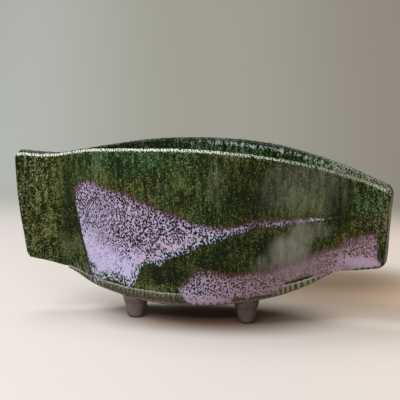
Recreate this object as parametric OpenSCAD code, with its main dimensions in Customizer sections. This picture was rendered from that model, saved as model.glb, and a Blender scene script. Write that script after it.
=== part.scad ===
// Boat-shaped slab-built stoneware vase for flower arranging, on four peg feet.
// Two thin clay slabs bulge apart round a boat-bottomed base and are pinched face to face
// into a flat fin at each end. A needle flower holder stands loose on the floor inside.
// X runs along the vase, the viewer stands at -Y, and Z is up from the table.

/* [Vessel] */
// Length from the left fin's end to the right fin's end
overall_length = 330; // [300:5:370]
// Height of the front rim's highest point above the table
rim_height = 148.5; // [135:0.5:165]
// How far the front rim has dropped at the right fin's end
rim_drop = 34; // [20:1:42]
// How much higher the back rim stands than the front rim in the middle and on the right
back_rim_rise = 3.3; // [0:0.1:5]
// Half of the outside depth at the mouth
mouth_half_depth = 57; // [50:1:62]
// Half of the outside depth where the walls stand on the base
seat_half_depth = 47; // [44:1:52]
// Outward belly of each wall halfway up
belly = 2; // [0:0.5:4]
// Thickness of a wall slab
wall = 6.5; // [5:0.5:8]
// Radius that rounds the corners of the fins
corner_round = 5; // [2:0.5:8]
// Radius that rounds the upper corner of the right fin
top_corner_round = 6; // [4:0.5:12]
// Radius that rounds the upright outer edges of the fins' ends
edge_round = 2.5; // [1:0.5:4]

/* [Fins] */
// Distance from the centre at which the left fin closes at the rim
left_pinch = 140; // [135:1:145]
// Distance from the centre at which the right fin closes at the rim
right_pinch = 152; // [140:1:155]
// How far the left fin's end curls towards the viewer
left_curl = 15; // [0:1:22]
// How far the right fin's end curls towards the viewer
right_curl = 12; // [0:1:20]
// Distance from the centre at which both fins start to curl
curl_start = 115; // [105:1:125]
// How far the left fin's lower corner is drawn in
left_draw = 8.5; // [0:0.5:14]
// How far the right fin's lower corner is drawn in
right_draw = 5; // [0:1:14]

/* [Base] */
// Height of the middle of the underside above the table
base_clearance = 15.5; // [12:0.5:18]
// How far the lower edge climbs from the middle of the base to the fins
fin_lift = 35.2; // [24:0.1:40]
// Thickness of the base slab at its middle, which is also the hem's height
base_thickness = 12; // [9:0.5:14]
// Thickness of the base slab at its two tips
tip_thickness = 1.5; // [1:0.5:3]
// Distance from the centre to the base slab's left tip
base_left = 122; // [115:1:126]
// Distance from the centre to the base slab's right tip
base_right = 114; // [108:1:120]
// How far the hem turns in under the walls
hem_inset = 6; // [3:0.5:9]
// Spacing of the upright ribs that are pressed into the hem
hem_rib_pitch = 6; // [5:0.5:12]
// Depth of the hem's ribs
hem_rib_depth = 0.6; // [0:0.1:1]
// Radius of the clay coil that seals each wall to the floor inside
seam_coil = 4; // [3:0.5:6]

/* [Feet] */
// Diameter of a foot where it meets the base
foot_top_d = 20; // [16:1:24]
// Diameter of a foot near the table
foot_bottom_d = 14.5; // [12:0.5:18]
// Radius that rounds the lower edge of a foot
foot_edge = 3; // [1.5:0.5:4]
// Distance of the two left feet from the centre
left_foot_x = 54; // [44:1:60]
// Distance of the two right feet from the centre
right_foot_x = 44; // [40:1:56]
// Distance of the front and back feet from the long centre line
foot_y = 22; // [18:1:26]
// How far the back pair of feet was set to the left of the front pair
back_feet_shift = 10; // [0:1:12]

/* [Flower holder] */
// Diameter of the cast base of the flower holder
holder_d = 58; // [40:1:60]
// How far left of the centre the flower holder stands, in the lowest part of the floor
holder_left = 13; // [5:1:20]
// Height of the cast base
holder_h = 8; // [6:0.5:10]
// Radius of the rubber ring's section round the cast base
ring_section = 1.8; // [1:0.1:2]
// Diameter of a needle
pin_d = 1.3; // [1:0.1:1.6]
// Height of the needles above the cast base
pin_h = 15; // [10:1:18]
// Spacing of the needles
pin_pitch = 3.9; // [3.6:0.1:6]
// Height of a needle's point
pin_point = 3; // [1.5:0.5:4]
// Thickness of the needle plate that is cast into the top of the base
needle_plate = 1.2; // [0.8:0.1:2]
// Plain border of the cast base outside the needles
pin_border = 3.5; // [2:0.5:6]

/* [Hidden] */

// Gap left between luted clay faces
lute_gap = 0.1;
// Gap between the flower holder and the floor it stands on
loose_gap = 0.3;
// Gap round the needle plate and the ring on the cast base
fit_gap = 0.1;
// Overrun of a cutting block past what it cuts
overrun = 4;

half_length = overall_length / 2;
full_turn = 360;

// The rim's profile: place along the half length, and share of rim_drop by which it lies low
rim_profile_shares = [[-1, 0.21], [-0.9, 0.278], [-0.8, 0.275], [-0.7, 0.196],
    [-0.576, 0.097], [-0.44, 0.055], [-0.303, 0.02], [0, 0], [0.303, 0.112], [0.576, 0.365],
    [0.8, 0.676], [1, 1]];
// How far the back rim stands over the front one: place, and share of back_rim_rise
back_rise_shares = [[-1, 0.65], [-0.88, 0.55], [-0.78, 0.06], [-0.55, 0.05], [-0.43, 0.7],
    [-0.3, 0.92], [0, 1], [1, 1]];
// The lower edge: place along the half length, and share of fin_lift by which it has climbed
keel_profile_shares = [[-1, 0.93], [-0.8, 0.745], [-0.7, 0.555], [-0.576, 0.292],
    [-0.44, 0.156], [-0.303, 0.058], [0, 0], [0.303, 0.131], [0.45, 0.267], [0.576, 0.483],
    [0.67, 0.716], [0.73, 0.82], [0.85, 0.893], [1, 1]];
// Power that shapes the plan of the mouth and of the base from full middle to flat fin
plan_power = 1.4;
// Power that shapes the base slab's thickness from its full middle to its thin tips
base_power = 0.65;
// Power of the fins' curl
curl_power = 1.6;
// Power with which the fins' lower corners draw in towards the ends
draw_power = 2;
// Power that bows the left fin's end in towards its lower corner; the right one is straight
left_bow_power = 1.8;
// Share of the right fin's curl by which its end face turns with it
end_turn_share = 0.5;

// Stations along a wall, rings round its rounded rim, and points up each of its faces
wall_stations = 88;
corner_stations = 5;
rim_steps = 6;
face_steps = 8;
// Stations for each rib of the hem, and points up the hem
rib_stations = 4;
hem_steps = 3;
coil_stations = 36;
coil_steps = 4;

clay = [0.36, 0.28, 0.25];
glaze = [0.20, 0.27, 0.13];
lead = [0.32, 0.33, 0.34];
needle = [0.80, 0.66, 0.34];
rubber = [0.06, 0.06, 0.06];

// Position of the last table row whose place is not beyond s
function row_of(table, s) =
    min(len(table) - 2, len([for (row = table) if (row[0] <= s) row]) - 1);

// Slope of a table at row i, from its two neighbours
function row_slope(table, i) =
    let (a = table[max(i - 1, 0)], b = table[min(i + 1, len(table) - 1)])
    (b[1] - a[1]) / (b[0] - a[0]);

// Smooth curve through a table of [place, value] rows
function smooth_at(table, s) =
    let (
        i = max(0, row_of(table, s)),
        span = table[i + 1][0] - table[i][0],
        t = (s - table[i][0]) / span
    )
    (2 * pow(t, 3) - 3 * pow(t, 2) + 1) * table[i][1]
    + (pow(t, 3) - 2 * pow(t, 2) + t) * span * row_slope(table, i)
    + (3 * pow(t, 2) - 2 * pow(t, 3)) * table[i + 1][1]
    + (pow(t, 3) - pow(t, 2)) * span * row_slope(table, i + 1);

// Distance that a corner of a radius takes off an edge at x
function corner_cut(x, radius) =
    let (into = min(radius, max(0, abs(x) - (half_length - radius))))
    radius - sqrt(pow(radius, 2) - pow(into, 2));
function top_round(x) = x < 0 ? corner_round : top_corner_round;

// Height of the front rim, and of the lower edge, above the table
function rim_z(x) =
    rim_height - rim_drop * smooth_at(rim_profile_shares, x / half_length)
    - corner_cut(x, top_round(x));
function back_rise(x) = back_rim_rise * smooth_at(back_rise_shares, x / half_length);
function keel_z(x) =
    base_clearance + fin_lift * smooth_at(keel_profile_shares, x / half_length)
    + corner_cut(x, corner_round);

// Centre line of the vase in plan, straight in the middle and curled at the fins
function curl_share(x) =
    pow(max(0, (abs(x) - curl_start) / (half_length - curl_start)), curl_power);
function centre_y(x) = -(x < 0 ? left_curl : right_curl) * curl_share(x);
// Turn of the right fin's sections towards the viewer
function fin_turn(x) =
    let (share = max(0, (x - curl_start) / (half_length - curl_start)))
    end_turn_share
    * atan(right_curl * curl_power * pow(share, curl_power - 1) / (half_length - curl_start));

// Half depth of a boat-shaped plan that is depth wide in the middle and closes at pinch
function boat_half(x, depth, pinch) =
    wall + (depth - wall) * pow(max(0, 1 - pow(x / pinch, 2)), plan_power);
function mouth_half(x) = boat_half(x, mouth_half_depth, x < 0 ? left_pinch : right_pinch);
function seat_half(x) = boat_half(x, seat_half_depth, x < 0 ? base_left : base_right);
function belly_at(x, up) =
    let (pinch = x < 0 ? base_left : base_right)
    belly * sin(full_turn / 2 * up) * max(0, 1 - pow(x / pinch, 2));

// Half depth over a wall's outside at x, where up goes from 0 at its foot to 1 at its rim
function full_half(x, up) =
    seat_half(x) + (mouth_half(x) - seat_half(x)) * up + belly_at(x, up);
function outside_half(x, up) = full_half(x, up) - corner_cut(x, edge_round);
function inside_half(x, up) = max(lute_gap / 2, full_half(x, up) - wall);

// Thickness of the base slab at x, from full in the middle to thin at its tips
function base_share(x) =
    pow(max(0, 1 - pow(x / (x < 0 ? base_left : base_right), 2)), base_power);
function slab_at(x) = tip_thickness + (base_thickness - tip_thickness) * base_share(x);
// The hem keeps this share of its inset at the tips
tip_share = tip_thickness / base_thickness;
function floor_z(x) = keel_z(x) + slab_at(x);

// Height of a wall's foot: on the base slab, and beyond its tips down at the lower edge
function wall_foot_z(x) =
    let (past = abs(x) - (x < 0 ? base_left : base_right))
    past <= 0
        ? floor_z(x) + lute_gap
        : keel_z(x) + (tip_thickness + lute_gap) * max(0, 1 - past / (2 * tip_thickness));

// Share of full height that a point at height z has at station x
function up_of(x, z, rise) = (z - wall_foot_z(x)) / (rim_z(x) + rise - wall_foot_z(x));

// How far a point of a fin is drawn in towards the middle
function drawn_x(x, up) =
    let (share = pow(max(0, (abs(x) - curl_start) / (half_length - curl_start)), draw_power))
    x < 0
        ? x + left_draw * share * pow(max(0, 1 - up), left_bow_power)
        : x - right_draw * share * (1 - up);

// Stations of a wall, closer together where the fins' corners are rounded
wall_places = concat(
    [for (i = [0 : corner_stations - 1])
        -half_length + corner_round * (1 - cos(full_turn / 4 * i / corner_stations))],
    [for (i = [0 : wall_stations])
        -half_length + corner_round
            + (overall_length - corner_round - top_corner_round) * i / wall_stations],
    [for (i = [1 : corner_stations])
        half_length - top_corner_round * (1 - sin(full_turn / 4 * i / corner_stations))]
);

// A point of a wall's section; side is -1 for the front wall and 1 for the back wall
function wall_point(x, half, z, side, rise) =
    let (
        along = drawn_x(x, up_of(x, z, rise)),
        out = side * half,
        turn = fin_turn(x)
    )
    [along + (out - wall) * sin(turn), centre_y(along) + out * cos(turn), z];

// Section of a wall at x: up its outside, over its rounded rim and down its inside
function wall_section(x, side) =
    let (
        rise = side > 0 ? back_rise(x) : 0,
        low = wall_foot_z(x),
        radius = (outside_half(x, 1) - inside_half(x, 1)) / 2,
        high = rim_z(x) + rise - radius,
        rim_mid = inside_half(x, 1) + radius
    )
    concat(
        [for (i = [0 : face_steps - 1])
            let (z = low + (high - low) * i / face_steps, up = up_of(x, z, rise))
            wall_point(x, outside_half(x, up), z, side, rise)],
        [for (i = [0 : rim_steps])
            let (turn = full_turn / 2 * i / rim_steps)
            wall_point(x, rim_mid + radius * cos(turn), high + radius * sin(turn), side, rise)],
        [for (i = [face_steps - 1 : -1 : 0])
            let (z = low + (high - low) * i / face_steps, up = up_of(x, z, rise))
            wall_point(x, inside_half(x, up), z, side, rise)]
    );

// Section of the base slab at x: along its floor, down the ribbed back hem and under
function hem_point(x, side, step) =
    let (
        down = step / hem_steps,
        rib = hem_rib_depth * base_share(x) * cos(full_turn * x / hem_rib_pitch)
            * sin(full_turn / 2 * down),
        inset = hem_inset * max(tip_share, base_share(x)) * pow(down, 2)
    )
    [x, centre_y(x) + side * (seat_half(x) - inset + rib), floor_z(x) - slab_at(x) * down];
function base_section(x) = concat(
    [for (step = [0 : hem_steps]) hem_point(x, 1, step)],
    [for (step = [hem_steps : -1 : 0]) hem_point(x, -1, step)]
);
base_count = round((base_left + base_right) / hem_rib_pitch * rib_stations);
base_places = [for (i = [0 : base_count]) -base_left + (base_left + base_right) * i / base_count];

// The coils reach this share of the base's length and end in a smeared taper
coil_reach_share = 0.82;
coil_end_share = 0.3;
coil_end_power = 10;
function coil_radius(x) =
    let (along = x / (coil_reach_share * (x < 0 ? base_left : base_right)))
    seam_coil * max(coil_end_share, sqrt(max(0, 1 - pow(along, coil_end_power))));

// Section of a seam coil: a quarter round in the corner of wall and floor
function coil_section(x, side) =
    let (
        low = floor_z(x) + lute_gap,
        corner = inside_half(x, up_of(x, low, 0)) - lute_gap
    )
    concat(
        [[x, centre_y(x) + side * corner, low]],
        [for (i = [0 : coil_steps])
            let (
                turn = full_turn / 4 * i / coil_steps,
                z = low + coil_radius(x) * sin(turn),
                face = inside_half(x, up_of(x, z, 0)) - lute_gap
            )
            [x, centre_y(x) + side * (face - coil_radius(x) * cos(turn)), z]]
    );
coil_places = [for (i = [0 : coil_stations])
    coil_reach_share * (-base_left + (base_left + base_right) * i / coil_stations)];

// A closed solid through a row of sections that have the same number of points
module loft(sections, inside_out = false) {
    ring = len(sections[0]);
    last = len(sections) - 1;
    sides = [for (i = [0 : last - 1], j = [0 : ring - 1])
        let (a = i * ring + j, b = i * ring + (j + 1) % ring)
        each [[a, b, b + ring], [a, b + ring, a + ring]]];
    ends = [[for (j = [ring - 1 : -1 : 0]) j], [for (j = [0 : ring - 1]) last * ring + j]];
    faces = concat(sides, ends);
    polyhedron(
        points = [for (section = sections) each section],
        faces = inside_out ? [for (face = faces) [for (k = [len(face) - 1 : -1 : 0]) face[k]]] : faces,
        convexity = 4
    );
}

module front_wall() {
    color(glaze) loft([for (x = wall_places) wall_section(x, -1)]);
}

module back_wall() {
    color(glaze) loft([for (x = wall_places) wall_section(x, 1)], inside_out = true);
}

module base_slab() {
    color(clay) loft([for (x = base_places) base_section(x)]);
}

module seam_coil(side) {
    color(clay) loft([for (x = coil_places) coil_section(x, side)], inside_out = side > 0);
}

// A tapered peg foot whose top is cut to the slope of the underside above it
module foot(x, y) {
    top_r = foot_top_d / 2;
    bottom_r = foot_bottom_d / 2;
    edge_steps = 5;
    slope = atan((keel_z(x + foot_edge) - keel_z(x - foot_edge)) / (2 * foot_edge));
    height = keel_z(x) + foot_top_d / 2;
    profile = concat(
        [[0, 0]],
        [for (i = [0 : edge_steps])
            let (turn = full_turn / 4 * i / edge_steps)
            [bottom_r - foot_edge + foot_edge * sin(turn), foot_edge - foot_edge * cos(turn)]],
        [[top_r, keel_z(x)], [top_r, height], [0, height]]
    );
    color(clay) translate([x, y, 0]) difference() {
        rotate_extrude($fn = 48) polygon(profile);
        translate([0, 0, keel_z(x) - lute_gap]) rotate([0, -slope, 0])
            translate([-foot_top_d, -foot_top_d, 0])
                cube([2 * foot_top_d, 2 * foot_top_d, foot_top_d + overrun]);
    }
}

// The flower holder stands on the floor where its rim meets the curve of the base
holder_r = holder_d / 2;
holder_z = max(floor_z(-holder_left - holder_r), floor_z(-holder_left + holder_r)) + loose_gap;
base_edge_share = 0.12;
round_steps = 96;
ring_steps = 32;

module kenzan_base() {
    edge = holder_h * base_edge_share;
    color(lead) translate([-holder_left, 0, holder_z]) difference() {
        rotate_extrude($fn = round_steps) polygon([
            [0, 0], [holder_r - edge, 0], [holder_r, edge],
            [holder_r, holder_h - edge], [holder_r - edge, holder_h], [0, holder_h]
        ]);
        translate([0, 0, holder_h / 2]) rotate_extrude($fn = round_steps)
            translate([holder_r, 0]) circle(r = ring_section + fit_gap, $fn = ring_steps);
        translate([0, 0, holder_h - needle_plate - fit_gap])
            cylinder(
                r = holder_r - pin_border + fit_gap,
                h = needle_plate + overrun,
                $fn = round_steps
            );
    }
}

module kenzan_ring() {
    color(rubber) translate([-holder_left, 0, holder_z + holder_h / 2])
        rotate_extrude($fn = round_steps)
            translate([holder_r, 0]) circle(r = ring_section, $fn = ring_steps);
}

// Needles on a hexagonal grid, each a slim peg with a point, on their round plate
pin_rows = floor(holder_r / (pin_pitch * sin(60)));
pin_limit = holder_r - pin_border - pin_d;
pin_sides = 4;
pin_places = [for (row = [-pin_rows : pin_rows], column = [-pin_rows - 2 : pin_rows + 2])
    let (
        x = (column + (row % 2 == 0 ? 0 : 1 / 2)) * pin_pitch,
        y = row * pin_pitch * sin(60)
    )
    if (norm([x, y]) < pin_limit) [x, y]];

module kenzan_pins() {
    root = needle_plate / 2;
    color(needle) translate([-holder_left, 0, holder_z + holder_h - needle_plate]) {
        cylinder(r = holder_r - pin_border, h = needle_plate, $fn = round_steps);
        for (place = pin_places)
            translate([place[0], place[1], root])
                rotate_extrude($fn = pin_sides) polygon([
                    [0, 0], [pin_d / 2, 0], [pin_d / 2, root + pin_h - pin_point], [0, root + pin_h]
                ]);
    }
}

front_wall();
back_wall();
base_slab();
seam_coil(-1);  // front_seam_coil
seam_coil(1);  // back_seam_coil
foot(-left_foot_x, -foot_y);  // foot_front_left
foot(right_foot_x, -foot_y);  // foot_front_right
foot(-left_foot_x - back_feet_shift, foot_y);  // foot_back_left
foot(right_foot_x - back_feet_shift, foot_y);  // foot_back_right
kenzan_base();
kenzan_pins();
kenzan_ring();
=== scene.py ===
"""Boat-shaped slab-built stoneware flower vase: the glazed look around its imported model.

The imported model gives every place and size. Each clay piece is a copy of its node that is
made finer, given the small unevenness of hand work and finished with layered glazes. The
flower holder inside gets round needles. All lengths are metres unless a name ends in mm.
"""

import math
import random

import bmesh
import bpy
import numpy as np
from mathutils import Matrix, Vector, noise


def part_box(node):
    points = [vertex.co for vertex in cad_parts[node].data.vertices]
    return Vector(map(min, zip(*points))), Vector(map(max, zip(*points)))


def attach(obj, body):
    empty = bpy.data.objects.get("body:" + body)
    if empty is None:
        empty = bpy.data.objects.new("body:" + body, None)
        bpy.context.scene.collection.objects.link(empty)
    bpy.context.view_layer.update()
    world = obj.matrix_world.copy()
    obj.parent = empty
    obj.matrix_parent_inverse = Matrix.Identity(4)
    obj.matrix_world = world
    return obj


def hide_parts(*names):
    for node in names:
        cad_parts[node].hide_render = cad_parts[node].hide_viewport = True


bl_info = {
    "name": "Slab-built flower vase",
    "version": (1, 0, 0),
    "blender": (4, 5, 0),
    "location": "View3D > Sidebar > Vase",
    "description": "Builds the glazed slab vase, its needle flower holder and the studio",
    "category": "Object",
}

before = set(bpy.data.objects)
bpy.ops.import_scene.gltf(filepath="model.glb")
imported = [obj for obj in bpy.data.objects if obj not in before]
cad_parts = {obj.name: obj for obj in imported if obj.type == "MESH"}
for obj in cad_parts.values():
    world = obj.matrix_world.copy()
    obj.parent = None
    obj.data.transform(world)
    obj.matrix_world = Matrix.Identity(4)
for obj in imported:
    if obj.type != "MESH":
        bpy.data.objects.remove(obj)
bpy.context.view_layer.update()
MM = 0.001
VESSEL = "vessel"
HOLDER = "kenzan"

# Everything on the front wall is placed in millimetres along the vase and up from the
# table. First the outlines of the two lilac pours.
HIGH_POUR_MM = (
    (-110, 108), (-110, 95), (-107, 82), (-103, 64), (-98, 47), (-95, 31), (-92, 26), (-88, 29),
    (-82, 32), (-69, 32), (-62, 30), (-54, 28.5), (-49, 33), (-46, 39), (-43, 45), (-38, 49.5),
    (-32, 51), (-25, 49), (-18, 55), (-11, 58), (-2, 61), (6, 65), (12, 69), (21, 70), (29, 73),
    (35, 77), (45, 78), (49, 81), (53, 84), (58, 85), (64, 84), (76, 85), (84, 86.5), (96, 87.5),
    (116, 90), (106, 90.2), (97, 90.5), (84, 90), (76, 88.5), (72, 90.5), (68, 87), (64, 90),
    (60, 87.5), (57, 88.5), (52, 89.5), (48, 87), (38, 85), (31, 84), (22, 85), (15, 86),
    (7, 88.5), (3, 89), (-6, 92.5), (-14, 94), (-27, 99), (-41, 104), (-51, 107.5), (-60, 109.5),
    (-69, 111), (-79, 113), (-84, 116), (-90, 118), (-101, 116.5), (-108, 112),
)
LOW_POUR_MM = (
    (-9, 30), (-6, 34), (-1, 37), (3, 42), (9, 46.5), (14, 47), (21, 46), (26, 45), (34, 43.5),
    (43, 44), (52, 46), (60, 46.5), (65, 47.5), (73, 52), (83, 55), (89, 56), (96, 59),
    (103, 62), (110, 63.5), (119, 66), (126, 72), (136, 75), (145, 78), (150, 77), (153, 71),
    (155, 64), (156, 55), (153, 51), (140, 48.5), (128, 46), (117, 43.5), (107, 39.5),
    (102, 38.5), (95, 41), (86, 38), (77, 35), (73, 30), (66, 26), (54, 25), (47, 23),
    (38, 24.5), (35, 22), (33, 18.5), (23, 17), (10, 16.5), (1, 17), (-3, 20), (-6, 24.5),
)
# Where the dark specks lie close together on each pour
HIGH_DENSE_MM = (
    (-112, 119), (-112, 104), (-109, 89), (-105, 80), (-89, 75), (-71, 69), (-55, 64), (-33, 62),
    (-19, 67), (-2, 72), (11, 76), (35, 81), (48, 84), (60, 84), (48, 92), (15, 92), (3, 95),
    (-32, 106), (-71, 118), (-88, 124),
)
LOW_DENSE_MM = (
    (-5, 34), (0, 28), (3, 23), (22, 23), (34, 27), (59, 30), (73, 37), (89, 43), (112, 51),
    (125, 54), (155, 57), (160, 67), (152, 84), (125, 79), (103, 69), (74, 60), (50, 52), (10, 53),
)
# Lower edges of the pours, where the glaze breaks to navy and white
HIGH_BORDER_MM = (
    (-96, 40), (-95, 31), (-90, 28), (-82, 33), (-73, 34), (-63, 33), (-54, 31), (-48, 37),
    (-44, 43), (-37, 50), (-25, 51), (-17, 57), (-2, 63), (11, 69), (21, 72), (29, 75), (43, 78),
)
LOW_BORDER_MM = ((-4, 23), (-1, 22.5), (7, 22.5), (16, 23.5), (22, 25))
# Upper edges of the pours, which end in pale tongues between red-brown gaps
FRINGE_MM = (
    ((-112, 106), (-110, 112), (-101, 117), (-90, 119), (-84, 116), (-69, 112), (-51, 108),
     (-27, 99), (-6, 93), (7, 89), (22, 86), (38, 85.5), (52, 89), (72, 90), (92, 89)),
    ((-8, 33), (3, 42), (14, 47), (34, 44), (60, 47), (83, 55), (103, 62), (119, 67), (145, 78)),
)
# A pink run inside the high pour, the dark edge on its left, and a hair of red far right
PINK_RUN_MM = ((-44, 51), (-29, 60), (-15, 65), (2, 70), (11, 73))
DARK_EDGE_MM = ((-108, 80), (-105, 67), (-101.5, 54), (-98.5, 43), (-97, 34))
RED_HAIR_MM = ((112, 90), (117, 91), (123, 90.5))
# Soft patches where the glaze pooled or ran thin, besides patches of painted shade and of painted
# sheen: place, half width, half height, strength
PATCHES_MM = {
    "teal": ((-55, 138, 50, 13, 1.0), (-8, 136, 28, 10, 0.6), (146, 104, 13, 12, 0.9),
             (-152, 122, 11, 22, 0.5), (-95, 130, 18, 16, 0.5), (20, 100, 14, 18, 0.3)),
    # Painted shade: darker patches on the green
    "painted_shade": ((-117, 96, 6, 40, 0.8), (120, 100, 12, 20, 0.9), (-22, 43, 24, 9, 1.0),
              (10, 52, 30, 10, 0.45), (42, 64, 34, 14, 0.6), (52, 112, 18, 26, 0.6),
              (147, 103, 14, 13, 0.4)),
    # Painted sheen: pale reflections painted on the glaze
    "painted_sheen": ((81, 62, 15, 15, 1.0), (91, 78, 10, 13, 0.8), (66, 54, 14, 8, 0.45),
             (24, 124, 8, 20, 0.2), (93, 116, 34, 26, 0.36), (-117, 57, 13, 9, 0.2),
             (104, 80, 12, 7, 0.4)),
    "veil": ((80, 54, 26, 13, 1.0), (-110, 45, 12, 8, 0.5)),
    "strip": ((138, 54, 19, 4.5, 1.0), (13, 20, 24, 5.0, 1.0)),
    "notch": ((154.5, 61, 3.0, 7, 1.0), (151, 67, 3.5, 3, 0.7), (158, 52, 2.8, 4, 1.0)),
    "mauve": ((151, 87, 10, 11, 1.0), (139, 90, 9, 8, 0.6)),
    "moss": ((128, 79, 10, 9, 1.0), (-20, 26, 14, 6, 0.6), (-60, 117, 40, 6, 0.35)),
}
# Where a patch starts and where it is full, as shares of its half width
PATCH_EDGE = (1.4, 0.6)
# How far from its line each narrow feature reaches
BORDER_REACH_MM = 6.5
BORDER_EXTRA_LEFT_MM = 4.5
LOW_BORDER_REACH_MM = 2.2
FRINGE_REACH_MM = 12
PINK_RUN_REACH_MM = 9
DARK_EDGE_REACH_MM = 2.6
RED_HAIR_REACH_MM = 1.6
# How much of the rim is white, partly where the glaze ran thin and partly a painted highlight with
# a painted glint at the right corner: place along the vase, and share
RIM_WHITE_MM = (
    (-165, 1.0), (-20, 1.0), (30, 0.8), (70, 0.6), (105, 0.4), (140, 0.35), (158, 0.6))
BACK_RIM_WHITE = 0.25
# Height of the unglazed clay along the hem's lower edge
BARE_MM = ((-122, 0.6), (-90, 1.0), (-60, 1.6), (-20, 2.4), (15, 2.6), (35, 1.8), (114, 0.6))
# How the back is read on the front's drawing: turned round and stretched, then shifted
BACK_STRETCH = (-1.25, 0.9)
BACK_SHIFT_MM = (-15, 8)
# Points to each span of a drawn line, and numbers past any distance and under any length
CURVE_STEPS = 4
FAR_MM = 1e9
TINY = 1e-9

# Slow waves of the walls: waves in a metre, seed, and share of the waviness
WAVES = ((22, 1, 0.6), (60, 2, 0.3))
# Sizes of the hand work that the settings leave alone
LONGEST_EDGE = 9 * MM
INNER_FLOOR_REACH = 9 * MM
RIB_PITCH_MM = 4.2
RIB_WANDER = 4.5
HEM_LINE_DEPTH_MM = 1.1
HEM_LINE_HALF_MM = 1.3
TICK_PITCH_MM = 2.1
COMB_WANDER = 2.2
FOOT_FLARE = 0.9 * MM
NEEDLE_LEAN = 0.006
# A needle's point: how far each step rises, as a share of the point, and how much it draws in
NEEDLE_POINT = ((0.45, 0.68), (0.35, 0.5), (0.2, 0.25))
# Angles in degrees above which an edge stays sharp
SLAB_CREASE, FOOT_CREASE, NEEDLE_CREASE = 60, 40, 35

# Colours that the settings leave alone
HAIR_RED = (0.16, 0.06, 0.04)
FIN_END = (0.19, 0.16, 0.11)
GROG = (0.30, 0.25, 0.22)
IRON_SPOT = (0.03, 0.02, 0.018)
LEAD = ((0.10, 0.10, 0.105), (0.26, 0.26, 0.27))
BRASS = ((0.72, 0.52, 0.22), (0.45, 0.33, 0.16))
RUBBER = ((0.014, 0.014, 0.015), (0.05, 0.05, 0.05))
# Washes, which multiply a colour
FIN_WASH = (1.12, 0.97, 0.85)
FRINGE_WASH = (0.62, 0.52, 0.52)
INSIDE_WASH = (0.8, 1.2, 1.6)
# Painted shade inside the narrow left part of the mouth
INSIDE_LEFT_SHADE = (0.5, 0.5, 0.5)
# Painted shade on the feet, also a random change of their tone
FOOT_SHADE_WASH = (0.5, 0.42, 0.40)

# Soft lights: place, width, height and watts; all point at one spot
LAMPS = {
    "key": ((-0.6, -0.7, 1.25), 0.9, 0.9, 12),
    "back": ((-0.55, 0.3, 1.25), 1.0, 0.7, 8),
    "front": ((-0.1, -1.8, 1.15), 1.8, 0.5, 16),
}
LAMP_AIM = (0, 0, 0.08)
AIR_COLOUR = (0.97, 0.98, 1.0, 1)
AIR_STRENGTH = 0.25
CAMERA_TARGET_MM = (-2.1, 0, 100.5)
SENSOR_MM = 36
# Painted shadows of the vase on the floor, as soft ovals: middle, half width and depth, where each
# starts and is full, wash
FLOOR_SHADOWS = (
    ((0.12, 0.13), (0.15, 0.13), (1.3, 0.2), (0.93, 0.79, 0.66)),
    ((0.088, 0.195), (0.1, 0.09), (1.45, 0.2), (0.40, 0.36, 0.315)),
    ((0.014, -0.008), (0.105, 0.07), (1.25, 0.35), (0.30, 0.21, 0.155)),
)


# Settings

def colour_setting(name, description, default, most=1):
    """A property for a colour, or for a wash that multiplies one."""
    return bpy.props.FloatVectorProperty(
        name=name, description=description, default=default, subtype="COLOR", size=3, min=0,
        max=most)


def length_setting(name, description, default, least=0):
    """A property for a length in metres."""
    return bpy.props.FloatProperty(
        name=name, description=description, default=default, subtype="DISTANCE", unit="LENGTH",
        min=least)


def angle_setting(name, description, degrees):
    """A property for an angle, which Blender keeps in radians."""
    return bpy.props.FloatProperty(
        name=name, description=description, default=math.radians(degrees), subtype="ANGLE",
        unit="ROTATION")


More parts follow.
